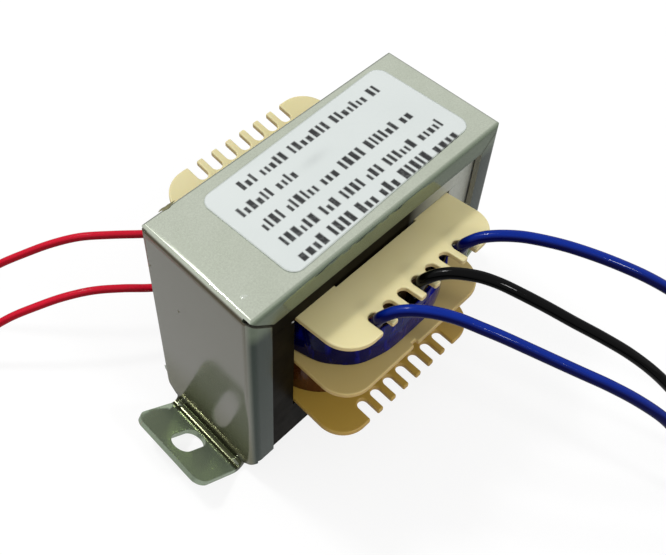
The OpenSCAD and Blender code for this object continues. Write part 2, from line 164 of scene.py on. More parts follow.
def smooth_path(route, steps):
    """A centripetal spline through the route's points, with steps points in each stretch: each
    stretch blends the two end points' tangents by the cubic Hermite weights."""
    p = np.asarray(route, float)
    knots = np.concatenate([[0], np.cumsum(np.linalg.norm(np.diff(p, axis=0), axis=1) ** 0.5)])
    slope = np.gradient(p, knots, axis=0)
    t = np.linspace(0, 1, steps, endpoint=False)[None, :, None]
    gap = np.diff(knots)[:, None, None]
    a, b, m, n = p[:-1, None], p[1:, None], slope[:-1, None] * gap, slope[1:, None] * gap
    line = ((2 * t**3 - 3 * t**2 + 1) * a + (t**3 - 2 * t**2 + t) * m
            + (3 * t**2 - 2 * t**3) * b + (t**3 - t**2) * n)
    line = np.concatenate([line.reshape(-1, 3), p[-1:]])
    # Between the points that lie on the floor the line stays on it
    line[:, 2] = np.maximum(line[:, 2], p[:, 2].min())
    return line


def path_axes(line, across):
    """Two directions square to the line at each of its points: side = along x across, and
    up = side x along."""
    along = np.gradient(line, axis=0)
    along /= np.linalg.norm(along, axis=1)[:, None]
    side = np.cross(along, across)
    side /= np.linalg.norm(side, axis=1)[:, None]
    return side, np.cross(side, along)


# ---------------------------------------------------------------- finishes

def linear(code):
    """An sRGB hex colour as linear red, green, blue and full alpha."""
    parts = np.array([int(code[i:i + 2], 16) for i in (1, 3, 5)]) / 255
    return (*np.where(parts <= 0.04045, parts / 12.92, ((parts + 0.055) / 1.055) ** 2.4), 1.0)


def add(tree, kind, inputs=None, **settings):
    """Adds a node with its settings. An input is a value, an sRGB hex colour, a socket to link,
    or a node whose first output in use is linked. By number, Mix takes its share at 0, numbers at
    2 and 3 and colours at 6 and 7, and Map Range takes its range at 1 and 2 to 3 and 4."""
    node = tree.nodes.new("ShaderNode" + kind)
    for key, value in settings.items():
        setattr(node, key, value)
    for key, value in (inputs or {}).items():
        if isinstance(value, bpy.types.Node):
            value = next(output for output in value.outputs if output.enabled)
        if isinstance(value, bpy.types.NodeSocket):
            tree.links.new(value, node.inputs[key])
        else:
            node.inputs[key].default_value = linear(value) if isinstance(value, str) else value
    return node


def new_finish(name):
    """An empty material and its node tree. The patterns' scales are cells in a millimetre."""
    material = bpy.data.materials.new(name)
    material.use_nodes = True
    material.node_tree.nodes.clear()
    return material, material.node_tree


def folded_strip_tone(tree, spot, normal, patches, speckle):
    """The folded strip's colour by place, with painted reflection and shade: plain tin on top, ends
    painted darker than the top and darker and olive towards the bottom, lips painted a dark
    grey-green, feet painted a lighter green, a painted dull brown shade where a bend turns
    over an end, and a painted dark olive shade in the bend at a foot."""
    end_on = add(tree, "Math", {0: normal.outputs["X"]}, operation="ABSOLUTE")
    lip_on = add(tree, "Math", {0: normal.outputs["Y"]}, operation="ABSOLUTE")
    out = add(tree, "Math", {0: spot.outputs["X"]}, operation="ABSOLUTE")
    is_end = add(tree, "MapRange", {0: end_on, 1: 0.5, 2: 1.0}, interpolation_type="SMOOTHSTEP")
    is_lip = add(tree, "MapRange", {0: lip_on, 1: 0.3, 2: 0.85}, interpolation_type="SMOOTHSTEP")
    is_foot = add(tree, "MapRange", {0: out, 1: (BRACKET_END + 0.25) * MM, 2: (BRACKET_END + 1.25) * MM},
                  interpolation_type="SMOOTHSTEP")
    top = add(tree, "Mix", {0: patches, 6: "#CCD2C3", 7: "#B9C0AF"}, data_type="RGBA")
    # Low on the ends the tone turns darker and olive towards the bottom
    low_darkening = add(tree, "MapRange", {0: spot.outputs["Z"], 1: 22 * MM, 2: 6 * MM},
               interpolation_type="SMOOTHSTEP")
    end_tone = add(tree, "Mix", {0: low_darkening, 6: "#9B9A90", 7: "#7E7D62"}, data_type="RGBA")
    # Painted reflection: the ends are painted a darker grey than the top
    tone = add(tree, "Mix", {0: is_end, 6: top, 7: end_tone}, data_type="RGBA")
    # Painted reflection: the lips are painted a dark grey-green, and painted lighter near the top's
    # edge, where they lie bright beside the end lips
    lip_height = add(tree, "MapRange", {0: spot.outputs["Z"], 1: (BRACKET_TOP - 6.75) * MM,
                                        2: (BRACKET_TOP - 3.75) * MM})
    lip_tone = add(tree, "Mix", {0: lip_height, 6: "#38443D", 7: "#76826F"}, data_type="RGBA")
    tone = add(tree, "Mix", {0: is_lip, 6: tone, 7: lip_tone}, data_type="RGBA")
    # Painted shade: where the bend over an end turns down, it is painted dull brown
    turned = add(tree, "MapRange", {0: end_on, 1: 0.6, 2: 0.85}, interpolation_type="SMOOTHSTEP")
    upward = add(tree, "MapRange", {0: normal.outputs["Z"], 1: 0.05, 2: 0.35},
                 interpolation_type="SMOOTHSTEP")
    stretch = add(tree, "Math", {0: turned, 1: upward}, operation="MULTIPLY")
    tone = add(tree, "Mix", {0: stretch, 6: tone, 7: "#6B6350"}, data_type="RGBA")
    # Painted reflection: the feet are painted a lighter green than the ends
    tone = add(tree, "Mix", {0: is_foot, 6: tone, 7: "#AFBEA6"}, data_type="RGBA")
    # Painted shade: the tight bend at a foot is painted dark olive, which damps its bright reflection
    near = add(tree, "MapRange", {0: out, 1: (BRACKET_END + 2.05) * MM, 2: (BRACKET_END + 1.25) * MM},
               interpolation_type="SMOOTHSTEP")
    beneath = add(tree, "MapRange", {0: spot.outputs["Z"], 1: 4.5 * MM, 2: 2.5 * MM},
                  interpolation_type="SMOOTHSTEP")
    outer = add(tree, "MapRange", {0: out, 1: (BRACKET_END - 0.75) * MM, 2: (BRACKET_END - 0.15) * MM})
    bent = add(tree, "Math", {0: near, 1: beneath}, operation="MULTIPLY")
    root = add(tree, "Math", {0: bent, 1: outer}, operation="MULTIPLY")
    tone = add(tree, "Mix", {0: root, 6: tone, 7: "#4B4E38"}, data_type="RGBA")
    # The crystals' speckle darkens it by a tenth
    grain = add(tree, "MapRange", {0: speckle, 1: 0.35, 2: 0.7, 3: 0.0, 4: 1.0})
    dark = add(tree, "Mix", {0: 0.9, 6: "#000000", 7: tone}, data_type="RGBA")
    return add(tree, "Mix", {0: grain, 6: tone, 7: dark}, data_type="RGBA")


def pressed_tinned_steel(name, burnished_and_highlit):
    """Cold-rolled strip, electro-tinned bright and then blanked and folded. The tin gives a
    grey-green mirror gloss with a fine speckle, and the folds and cut edges are burnished; the
    lighter tone on the rounded edges is also a painted edge highlight."""
    material, tree = new_finish(name)
    surface = add(tree, "TexCoord")
    place = surface.outputs["Object"]
    # Tin crystals about 0.3 mm across, drawn a little coarser than they are
    speckle = add(tree, "TexNoise", {"Vector": place, "Scale": 3.2 / MM, "Detail": 2, "Roughness": 0.6})
    # Handling marks in patches some 6 mm across
    patches = add(tree, "TexNoise", {"Vector": place, "Scale": 0.16 / MM, "Detail": 3, "Roughness": 0.6})
    # Drawing lines on the ends, 0.5 mm apart and some 8 mm long
    drawn = add(tree, "Mapping", {"Vector": place, "Scale": (1, 1, 0.06)})
    lines = add(tree, "TexNoise", {"Vector": drawn, "Scale": 2 / MM, "Detail": 2})
    if burnished_and_highlit:
        # Burnished tin for the rounded edges and the nicks; on the rounded edges this lighter tone is also a
        # painted edge highlight
        tone = add(tree, "Mix", {0: speckle, 6: "#DDE2D6", 7: "#B4BBAE"}, data_type="RGBA")
    else:
        spot = add(tree, "SeparateXYZ", {0: place})
        normal = add(tree, "SeparateXYZ", {0: surface.outputs["Normal"]})
        tone = folded_strip_tone(tree, spot, normal, patches, speckle)
    rough = add(tree, "MapRange", {0: patches, 1: 0.3, 2: 0.7, 3: 0.1, 4: 0.17})
    relief = add(tree, "Math", {0: speckle, 1: lines}, operation="ADD")
    bump = add(tree, "Bump", {"Height": relief, "Strength": 0.03, "Distance": 0.03 * MM})
    shader = add(tree, "BsdfPrincipled", {"Base Color": tone, "Metallic": 0.75, "Roughness": rough,
                                          "Normal": bump})
    add(tree, "OutputMaterial", {"Surface": shader})
    return material


def varnished_core_steel():
    """Rolled silicon steel, punched, stacked and dipped in varnish. One leg is painted brown-black,
    a painted reflection of shade and dark parts, and the other leg is painted grey steel that
    mirrors, its grey a painted reflection of the bright floor."""
    material, tree = new_finish("varnished_core_steel")
    place = add(tree, "TexCoord").outputs["Object"]
    spot = add(tree, "SeparateXYZ", {0: place})
    # Drained pools some 4.5 mm across, and rolling grit drawn coarser than its 20 microns
    pools = add(tree, "TexNoise", {"Vector": place, "Scale": 0.22 / MM, "Detail": 4, "Roughness": 0.65})
    grit = add(tree, "TexNoise", {"Vector": place, "Scale": 2.6 / MM, "Detail": 2})
    # Painted reflection: from x = 8 mm to 20 mm the tone turns from brown-black varnish to grey steel, and
    # the metal share rises
    painted_bright = add(tree, "MapRange", {0: spot.outputs["X"], 1: 8 * MM, 2: 20 * MM, 3: 0.0, 4: 1.0})
    varnish = add(tree, "Mix", {0: pools, 6: "#050402", 7: "#130F07"}, data_type="RGBA")
    steel = add(tree, "Mix", {0: grit, 6: "#D8DBD2", 7: "#BDC0B6"}, data_type="RGBA")
    tone = add(tree, "Mix", {0: painted_bright, 6: varnish, 7: steel}, data_type="RGBA")
    metal = add(tree, "MapRange", {0: painted_bright, 3: 0.0, 4: 0.8})
    rough = add(tree, "MapRange", {0: pools, 1: 0.3, 2: 0.7, 3: 0.5, 4: 0.35})
    bump = add(tree, "Bump", {"Height": grit, "Strength": 0.2, "Distance": 0.03 * MM})
    shader = add(tree, "BsdfPrincipled", {"Base Color": tone, "Metallic": metal, "Roughness": rough,
                                          "Specular IOR Level": 0.03, "Normal": bump})
    add(tree, "OutputMaterial", {"Surface": shader})
    return material


def moulded_nylon():
    """Natural PA66, injection moulded. It is straw-coloured and waxy, a little see-through at
    its edges, with a fine spark-eroded grain."""
    material, tree = new_finish("moulded_nylon")
    surface = add(tree, "TexCoord")
    place = surface.outputs["Object"]
    normal = add(tree, "SeparateXYZ", {0: surface.outputs["Normal"]})
    # The melt's flow shows as clouds 11 mm across, over a grain of a third of a millimetre
    flow = add(tree, "TexNoise", {"Vector": place, "Scale": 0.09 / MM, "Detail": 3})
    grain = add(tree, "TexNoise", {"Vector": place, "Scale": 3 / MM, "Detail": 2})
    tone = add(tree, "Mix", {0: flow, 6: "#DCD3A6", 7: "#D1C792"}, data_type="RGBA")
    spot = add(tree, "SeparateXYZ", {0: place})
    # Painted shade: below 45 mm the nylon is painted yellow-brown, the two lower flanges more, the
    # lowest most
    painted_low_shade = add(tree, "MapRange", {0: spot.outputs["Z"], 1: 45 * MM, 2: 20 * MM, 3: 0.0, 4: 0.92})
    low_shaded = add(tree, "Mix", {0: painted_low_shade, 6: tone, 7: "#A07E20"}, data_type="RGBA")
    # Painted shade: faces that look sideways or down are painted brown
    painted_side_shade = add(tree, "MapRange", {0: normal.outputs["Z"], 1: 0.6, 2: -0.5, 3: 0.0, 4: 0.9})
    base = add(tree, "Mix", {0: painted_side_shade, 6: low_shaded, 7: "#9A7634"}, data_type="RGBA")
    bump = add(tree, "Bump", {"Height": grain, "Strength": 0.15, "Distance": 0.03 * MM})
    shader = add(tree, "BsdfPrincipled", {"Base Color": base, "Roughness": 0.42, "Normal": bump,
                                          "Subsurface Weight": 0.12, "Subsurface Scale": 1 * MM,
                                          "Subsurface Radius": (1, 0.7, 0.3)})
    add(tree, "OutputMaterial", {"Surface": shader})
    return material


def polyester_tape(name, colour, painted_bright, gloss, specular):
    """Polyester film with its adhesive, wound by hand. The film is smooth and mirrors light
    sharply in a few fine creases, which are also painted lighter as painted highlights; towards
    +x it is painted lighter, as painted light."""
    material, tree = new_finish(name)
    place = add(tree, "TexCoord").outputs["Object"]
    spot = add(tree, "SeparateXYZ", {0: place})
    # Creases about 1.5 mm apart that run up the tape, and ripples of 4 mm between them
    upright = add(tree, "Mapping", {"Vector": place, "Scale": (1, 1, 0.3)})
    creases = add(tree, "TexNoise", {"Vector": upright, "Scale": 0.65 / MM, "Detail": 2, "Roughness": 0.5})
    ripples = add(tree, "TexNoise", {"Vector": place, "Scale": 0.25 / MM, "Detail": 1})
    raised = add(tree, "MapRange", {0: creases, 1: 0.55, 2: 0.72})
    crease_and_glint = add(tree, "Math", {0: raised, 1: 0.4}, operation="MULTIPLY")
    # Painted light: the tape is painted lighter towards +x, and on its creases as painted highlights
    layers = add(tree, "MapRange", {0: spot.outputs["X"], 1: -16 * MM, 2: 14 * MM, 3: 0.0, 4: 0.6})
    clear = add(tree, "Math", {0: crease_and_glint, 1: layers}, operation="ADD", use_clamp=True)
    tone = add(tree, "Mix", {0: clear, 6: colour, 7: painted_bright}, data_type="RGBA")
    relief = add(tree, "Math", {0: crease_and_glint, 1: ripples}, operation="ADD")
    bump = add(tree, "Bump", {"Height": relief, "Strength": 0.5, "Distance": 0.3 * MM})
    shader = add(tree, "BsdfPrincipled", {"Base Color": tone, "Roughness": gloss, "Normal": bump,
                                          "Specular IOR Level": specular})
    add(tree, "OutputMaterial", {"Surface": shader})
    return material


def enamelled_copper(name, turn):
    """Copper wire drawn and dipped in enamel, wound in layers. Turns a wire apart catch the
    light as fine level lines: the height is sin(2 pi z / turn)."""
    material, tree = new_finish(name)
    place = add(tree, "TexCoord").outputs["Object"]
    spot = add(tree, "SeparateXYZ", {0: place})
    angle = add(tree, "Math", {0: spot.outputs["Z"], 1: 2 * np.pi / (turn * MM)}, operation="MULTIPLY")
    wave = add(tree, "Math", {0: angle}, operation="SINE")
    wander = add(tree, "TexNoise", {"Vector": place, "Scale": 0.4 / MM, "Detail": 2})
    tone = add(tree, "Mix", {0: wander, 6: "#5E3012", 7: "#34190A"}, data_type="RGBA")
    bump = add(tree, "Bump", {"Height": wave, "Strength": 0.8, "Distance": turn / 4 * MM})
    shader = add(tree, "BsdfPrincipled", {"Base Color": tone, "Metallic": 0.8, "Roughness": 0.3,
                                          "Normal": bump, "Coat Weight": 0.5})
    add(tree, "OutputMaterial", {"Surface": shader})
    return material


def extruded_pvc(name, colour, shaded_colour):
    """Soft PVC, extruded over stranded wire. The skin is glossy and shows the strands' lay as a
    faint waviness, with narrow scuffs along it."""
    material, tree = new_finish(name)
    surface = add(tree, "TexCoord")
    along = add(tree, "Attribute", attribute_name="along")
    turn = add(tree, "Attribute", attribute_name="turn")
    skin_place = add(tree, "CombineXYZ", {0: along.outputs["Fac"], 1: turn.outputs["Fac"]})
    # Scuffs about 4 mm long and 0.15 mm wide, and waves of 1.4 mm
    drag = add(tree, "Mapping", {"Vector": skin_place, "Scale": (0.12, 3.0, 1)})
    scuffs = add(tree, "TexNoise", {"Vector": drag, "Scale": 2.2, "Detail": 3})
    waves = add(tree, "TexNoise", {"Vector": surface.outputs["Object"], "Scale": 0.7 / MM, "Detail": 2})
    # Painted shade: the skin is painted fuller in colour on faces that look up and deep below
    height = add(tree, "SeparateXYZ", {0: surface.outputs["Normal"]})
    painted_top_light = add(tree, "MapRange", {0: height.outputs["Z"], 1: 0.45, 2: 0.95, 3: 0.0, 4: 1.0},
              interpolation_type="SMOOTHSTEP")
    dusty = add(tree, "MapRange", {0: scuffs, 3: 1.0, 4: 0.6})
    scuffed_and_lit = add(tree, "Math", {0: dusty, 1: painted_top_light}, operation="MULTIPLY")
    tone = add(tree, "Mix", {0: scuffed_and_lit, 6: shaded_colour, 7: colour}, data_type="RGBA")
    rough = add(tree, "MapRange", {0: scuffs, 1: 0.3, 2: 0.75, 3: 0.06, 4: 0.15})
    bump = add(tree, "Bump", {"Height": waves, "Strength": 0.25, "Distance": 0.1 * MM})
    shader = add(tree, "BsdfPrincipled", {"Base Color": tone, "Roughness": rough, "Normal": bump,
                                          "Specular IOR Level": 0.1})
    add(tree, "OutputMaterial", {"Surface": shader})
    return material


def tinned_strands(name, colour):
    """Copper strands drawn through molten tin, and the solder on them: bright grey, softly
    pitted."""
    material, tree = new_finish(name)
    place = add(tree, "TexCoord").outputs["Object"]
    # Pits 0.4 mm apart
    pits = add(tree, "TexNoise", {"Vector": place, "Scale": 2.5 / MM, "Detail": 3})
    tone = add(tree, "Mix", {0: pits, 6: colour, 7: "#8E8E88"}, data_type="RGBA")
    bump = add(tree, "Bump", {"Height": pits, "Strength": 0.3, "Distance": 0.03 * MM})
    shader = add(tree, "BsdfPrincipled", {"Base Color": tone, "Metallic": 0.9, "Roughness": 0.32,
                                          "Normal": bump})
    add(tree, "OutputMaterial", {"Surface": shader})
    return material


def dried_varnish(name):
    """A run of dipping varnish, dried and chipped: olive-brown, glossy where it is whole."""
    material, tree = new_finish(name)
    place = add(tree, "TexCoord").outputs["Object"]
    # Crazing in cells of 0.6 mm
    crazing = add(tree, "TexNoise", {"Vector": place, "Scale": 1.8 / MM, "Detail": 3})
    tone = add(tree, "Mix", {0: crazing, 6: "#77744C", 7: "#4A4630"}, data_type="RGBA")
    bump = add(tree, "Bump", {"Height": crazing, "Strength": 0.4, "Distance": 0.05 * MM})
    shader = add(tree, "BsdfPrincipled", {"Base Color": tone, "Roughness": 0.35, "Normal": bump})
    add(tree, "OutputMaterial", {"Surface": shader})
    return material


def printed_label_film():
    """Coated polyester label film, thermally printed. It is a cool satin white, its cut edge is
    grey, and the print is matt and nearly black."""
    material, tree = new_finish("printed_label_film")
    place = add(tree, "TexCoord").outputs["Object"]
    ink = add(tree, "Attribute", attribute_name="ink")
    rim = add(tree, "Attribute", attribute_name="rim")
    # The coating's grain, 0.7 mm across so that it shows, and clouds of 14 mm
    fibres = add(tree, "TexNoise", {"Vector": place, "Scale": 1.5 / MM, "Detail": 3})
    cloud = add(tree, "TexNoise", {"Vector": place, "Scale": 0.07 / MM, "Detail": 2})
    paper = add(tree, "Mix", {0: cloud, 6: "#C3C8C6", 7: "#B9BFBD"}, data_type="RGBA")
    edged = add(tree, "Mix", {0: rim.outputs["Fac"], 6: paper, 7: "#9CA39D"}, data_type="RGBA")
    taken = add(tree, "MapRange", {0: fibres, 1: 0.3, 2: 0.5, 3: 0.9, 4: 1.0})
    inked = add(tree, "Math", {0: ink.outputs["Fac"], 1: taken}, operation="MULTIPLY")
    base = add(tree, "Mix", {0: inked, 6: edged, 7: "#0E1012"}, data_type="RGBA")
    bump = add(tree, "Bump", {"Height": fibres, "Strength": 0.1, "Distance": 0.02 * MM})
    shader = add(tree, "BsdfPrincipled", {"Base Color": base, "Roughness": 0.45, "Normal": bump})
    add(tree, "OutputMaterial", {"Surface": shader})
    return material


bracket_steel = pressed_tinned_steel("pressed_tinned_steel", burnished_and_highlit=False)
burnished_highlit_steel = pressed_tinned_steel("burnished_highlit_tinned_steel", burnished_and_highlit=True)
core_steel = varnished_core_steel()
bobbin_nylon = moulded_nylon()
blue_film = polyester_tape("blue_polyester_tape", "#010228", "#07107C", gloss=0.08, specular=0.06)
amber_film = polyester_tape("amber_polyester_tape", "#3E1E08", "#6A3E16", gloss=0.25, specular=0.2)
primary_wire = enamelled_copper("enamelled_copper_fine", turn=0.3)
secondary_wire = enamelled_copper("enamelled_copper_coarse", turn=0.7)
blue_skin = extruded_pvc("blue_extruded_pvc", "#06288A", "#010238")
black_skin = extruded_pvc("black_extruded_pvc", "#040405", "#010101")
red_skin = extruded_pvc("red_extruded_pvc", "#CC1630", "#8E0A1A")
strand_tin = tinned_strands("tinned_copper_strands", "#D2D2CC")
solder_tin = tinned_strands("tin_lead_solder", "#C4C6C2")
dry_varnish = dried_varnish("dried_varnish")
label_film = printed_label_film()


# ---------------------------------------------------------------- leads

# Each lead's finish, slot and width, its bare tip's node and width, where it leaves the bobbin,
# and its route from its splice under the tape to the end of its insulation
LEADS = {
    "blue_lead_left": (blue_skin, "blue_pvc", 2.0, "blue_tip_left", 1.2, (-10.26, -21.3, 43.0), [
        (-10.26, -18.3, 33), (-10.26, -18.3, 36.6), (-10.26, -18.55, 38.1), (-10.26, -19.3, 39.5),
        (-10.26, -20.3, 40.7), (-10.26, -20.95, 41.9), (-10.26, -21.3, 43), (-10.22, -21.6, 43.9),
        (-9.75, -22.3, 45), (-8.8, -23.3, 46), (-7.6, -24.8, 46.8), (-6.2, -26.7, 47.2),
        (-4.8, -28.7, 47.2), (-3.2, -31.1, 46.7), (-1.5, -33.7, 45.6), (0.5, -36.7, 44.2),
        (2.7, -39.9, 42.4), (5.1, -43.4, 40.4), (7.7, -47.3, 38.3), (10.5, -51.4, 36),
        (13.5, -55.8, 32.9), (16.5, -60.2, 28.6), (19, -63.6, 22.4), (21.2, -66.6, 15.6),
        (23.4, -69.6, 9), (26, -73, 3.8), (29.8, -76.6, 1.3), (35, -79.6, 1), (41, -81.4, 1),
        (47, -81.8, 1), (52.6, -80.6, 1), (57, -77.4, 1)]),
    "black_lead": (black_skin, "black_pvc", 2.0, "black_tip", 1.2, (0, -21.3, 43.0), [
        (0, -20.1, 33), (0, -20.1, 38), (0, -20.3, 39.6), (0, -20.75, 40.9), (0, -21.05, 42),
        (0, -21.3, 43), (0.04, -21.6, 43.9), (0.5, -22.3, 45), (1.4, -23.3, 45.9),
        (2.6, -24.8, 46.6), (3.9, -26.7, 46.9), (5.3, -28.6, 46.7), (7, -31.1, 45.8),
        (9, -34.1, 44.1), (11.4, -37.6, 41.8), (14, -41.5, 39.1), (16.8, -45.6, 36.3),
        (19.8, -50, 32.9), (22.8, -54.4, 28.4), (25.6, -58.5, 22.8), (28.1, -62, 16.4),
        (30.6, -65.4, 10), (33.4, -68.8, 4.4), (37, -72, 1.5), (42, -74.6, 1), (47.6, -75.4, 1),
        (52.8, -74, 1), (56.4, -70.2, 1), (58.2, -65.2, 1)]),
    "blue_lead_right": (blue_skin, "blue_pvc", 2.0, "blue_tip_right", 1.2, (10.26, -21.35, 43.1), [
        (10.26, -17.4, 33), (10.26, -17.4, 36.2), (10.26, -17.55, 37.6), (10.26, -18.25, 38.85),
        (10.26, -19.35, 39.9), (10.26, -20.4, 41), (10.26, -21, 42.1), (10.26, -21.35, 43.1),
        (10.3, -21.6, 43.9), (10.75, -22.3, 45), (11.7, -23.3, 46), (12.9, -24.8, 46.8),
        (14.3, -26.7, 47.4), (15.7, -28.7, 47.7), (17.2, -31, 47.7), (19.4, -34.2, 47.2),
        (21.8, -37.8, 46.2), (24.4, -41.7, 44.7), (27.2, -45.9, 42.6), (30.2, -50.3, 39.4),
        (33.2, -54.4, 34.6), (36, -58, 28.4), (38.4, -60.8, 21.4), (40.6, -63, 14.2),
        (43, -65, 7.4), (46.2, -66.8, 2.6), (50.4, -67, 1), (53.6, -64, 1), (54.6, -59.4, 1)]),
    "red_lead_upper": (red_skin, "red_pvc", 1.6, "red_tip_upper", 0.9, (-10.4, 22.7, 24.2), [
        (-4, 18.2, 19.4), (-4, 18.2, 20.4), (-4.2, 18.3, 21.6), (-4.9, 18.7, 22.7),
        (-6.1, 19.5, 23.4), (-7.9, 20.8, 23.9), (-10.4, 22.7, 24.2), (-14.6, 25.9, 24.7),
        (-19.3, 29.5, 25.2), (-24, 33.4, 25.5), (-28.6, 37.3, 25.3), (-33, 41, 23.6),
        (-37.4, 44.6, 21), (-41.6, 48.2, 17.9), (-45.4, 51.4, 14), (-49, 54.2, 9.4),
        (-52.8, 56.8, 4.8), (-57.2, 59, 1.8), (-62.6, 60.2, 0.8), (-68.4, 59.8, 0.8),
        (-73.4, 57.4, 0.8), (-76.8, 53.2, 0.8), (-78, 48, 0.8)]),
    "red_lead_lower": (red_skin, "red_pvc", 1.6, "red_tip_lower", 0.9, (-14.4, 19.3, 16), [
        (-8, 17.9, 20.2), (-8, 17.9, 19.4), (-8.25, 17.9, 18.3), (-9, 17.9, 17.3),
        (-10.2, 18.1, 16.6), (-12, 18.5, 16.1), (-14.4, 19.3, 16), (-17.2, 20.5, 16.2),
        (-19.9, 21.9, 16.5), (-22.9, 23.6, 16.9), (-27.4, 26.7, 18), (-32, 29.9, 18.5),
        (-36.8, 33.2, 17.6), (-41.4, 36.4, 15.6), (-45.8, 39.6, 13), (-50, 42.4, 9.6),
        (-54, 44.8, 5.6), (-58.4, 46.8, 2.3), (-63, 47.8, 0.8), (-67.6, 46.8, 0.8),
        (-70.8, 43.4, 0.8), (-72, 38.8, 0.8), (-71.6, 34, 0.8), (-70, 29.6, 0.8)]),
}
TIP_LENGTH = 6
# Directions that the front and rear leads never point along
FRONT_ACROSS, REAR_ACROSS = (0.18, 0.38, 0.91), (0.15, 0.55, -0.82)


def lead(name, finish, diameter, route, across, sides=20, cut=0.84):
    """A circle carried along the smoothed route: point = line + r (cos t side + sin t up). At
    each end a ring of cut times the radius and a ring of none close it, where it was cut."""
    line = smooth_path(route, 6)
    side, up = path_axes(line, across)
    far = np.concatenate([[0], np.cumsum(np.linalg.norm(np.diff(line, axis=0), axis=1))])
    ends = np.concatenate([[0, 0], np.arange(len(line)), [-1, -1]])
    line, side, up, far = line[ends], side[ends], up[ends], far[ends]
    radius = np.full(len(line), diameter / 2)
    radius[[1, -2]] *= cut
    radius[[0, -1]] = 0
    t = np.linspace(0, 2 * np.pi, sides, endpoint=False)
    ring = np.cos(t)[None, :, None] * side[:, None] + np.sin(t)[None, :, None] * up[:, None]
    grid = line[:, None] + radius[:, None, None] * ring
    return skin(name, grid, [finish], round_columns=True,
                layers={"along": far[:, None], "turn": (diameter / 2 * np.sin(t))[None, :]})


def strands(name, route, diameter, outer=6, steps=25, sides=10):
    """Seven strands laid as a rope: one straight, six round it on a helix of one turn, each a
    circle of a third of the tip's diameter carried along its own line."""
    line = np.asarray(route, float)
    start, heading = line[-1], line[-1] - line[-2]
    heading[2] = 0
    heading /= np.linalg.norm(heading)
    side, up = np.array([-heading[1], heading[0], 0]), np.array([0, 0, 1.0])
    s = np.linspace(0, 1, steps)
    lay = 2 * np.pi * (s[None] + np.arange(outer)[:, None] / outer)
    lay = np.concatenate([np.zeros((1, steps)), lay])
    off = np.concatenate([np.zeros((1, steps)), np.full((outer, steps), diameter / 3)])
    centre = (start + s[None, :, None] * TIP_LENGTH * heading
              + off[..., None] * (np.cos(lay)[..., None] * side + np.sin(lay)[..., None] * up))
    t = np.linspace(0, 2 * np.pi, sides, endpoint=False)
    ring = np.cos(t)[:, None] * side + np.sin(t)[:, None] * up
    thick = np.full(steps, diameter / 6)
    thick[[0, -1]] = 0
    grid = centre[:, :, None] + thick[None, :, None, None] * ring[None, None]
    return skin(name, grid, [strand_tin], round_columns=True)


for node, (finish, slot, diameter, tip_node, tip_diameter, leave, route) in LEADS.items():
    across = REAR_ACROSS if node.startswith("red") else FRONT_ACROSS
    insulation = fit(lead(node + "_insulation", finish, diameter, route, across), slot, node)
    tip = fit(strands(tip_node + "_strands", route, tip_diameter), "solder", tip_node)
    path = smooth_path(route, 3) * MM


# ---------------------------------------------------------------- light and floor

def lamp(name, direction, distance, size, watts):
    """A square soft lamp that looks at the middle of the core from a direction."""
    data = bpy.data.lights.new(name, "AREA")
    data.size = size * MM
    data.energy = watts
    light = bpy.data.objects.new(name, data)
    bpy.context.scene.collection.objects.link(light)
    toward = Vector(direction).normalized()
    light.location = Vector((0, 0, 25 * MM)) + toward * distance * MM
    light.rotation_euler = toward.to_track_quat("Z", "Y").to_euler()


def room_light():
    """The room's own light: bright in front and dim low down behind the left end, and white
    where the camera looks straight at it."""
    world = bpy.data.worlds.new("studio")
    bpy.context.scene.world = world
    world.use_nodes = True
    sky = world.node_tree
    sky.nodes.clear()
    toward = add(sky, "TexCoord").outputs["Generated"]
    up = add(sky, "SeparateXYZ", {0: toward}).outputs["Z"]
    aside = add(sky, "VectorMath", {0: toward, 1: (-0.86, 0.5, 0)}, operation="DOT_PRODUCT")
    low = add(sky, "MapRange", {0: aside, 1: -0.2, 2: 0.8, 3: 0.75, 4: 0.12})
    rise = add(sky, "MapRange", {0: up, 1: 0.0, 2: 0.6, 3: 0.0, 4: 1.0}, interpolation_type="SMOOTHSTEP")
    height = add(sky, "Mix", {0: rise, 2: low, 3: 0.8})
    seen = add(sky, "LightPath").outputs["Is Camera Ray"]
    level = add(sky, "Mix", {0: seen, 2: height, 3: 1.0})
    add(sky, "OutputWorld", {0: add(sky, "Background", {0: "#FFFFFF", 1: level})})


def matt_white_board():
    """Matt white board: it takes the object's shadow, and is evenly white where nothing shades
    it. In mirror images it is a mid grey, as a real table top would be."""
    material, tree = new_finish("matt_white_board")
    rays = add(tree, "LightPath")
    looked_at = add(tree, "Math", {0: rays.outputs["Is Camera Ray"], 1: rays.outputs["Is Transmission Ray"]},
                    operation="MAXIMUM")
    seen_share = add(tree, "Math", {0: looked_at, 1: 0.82}, operation="MULTIPLY")
    share = add(tree, "Math", {0: seen_share, 1: rays.outputs["Is Glossy Ray"]}, operation="MAXIMUM")
    glow = add(tree, "MapRange", {0: rays.outputs["Is Glossy Ray"], 3: 1.0, 4: 0.42})
    matt = add(tree, "BsdfDiffuse", {0: "#F2F2F2"})
    white = add(tree, "Emission", {0: "#FFFFFF", 1: glow})
    add(tree, "OutputMaterial", {0: add(tree, "MixShader", {0: share, 1: matt, 2: white})})
    return material


lamp("high_softbox", (-0.14, 0.5, 0.85), distance=450, size=180, watts=0.3)
lamp("bare_bulb", (-0.14, 0.42, 0.85), distance=450, size=50, watts=0.7)
lamp("front_fill", (0.1, -0.8, 0.6), distance=700, size=90, watts=1.3)
room_light()

floor_mesh = bpy.data.meshes.new("floor")
floor_mesh.from_pydata([(-2, -2, 0), (2, -2, 0), (2, 2, 0), (-2, 2, 0)], [], [(0, 1, 2, 3)])
floor_mesh.materials.append(matt_white_board())
floor = bpy.data.objects.new("floor", floor_mesh)
bpy.context.scene.collection.objects.link(floor)


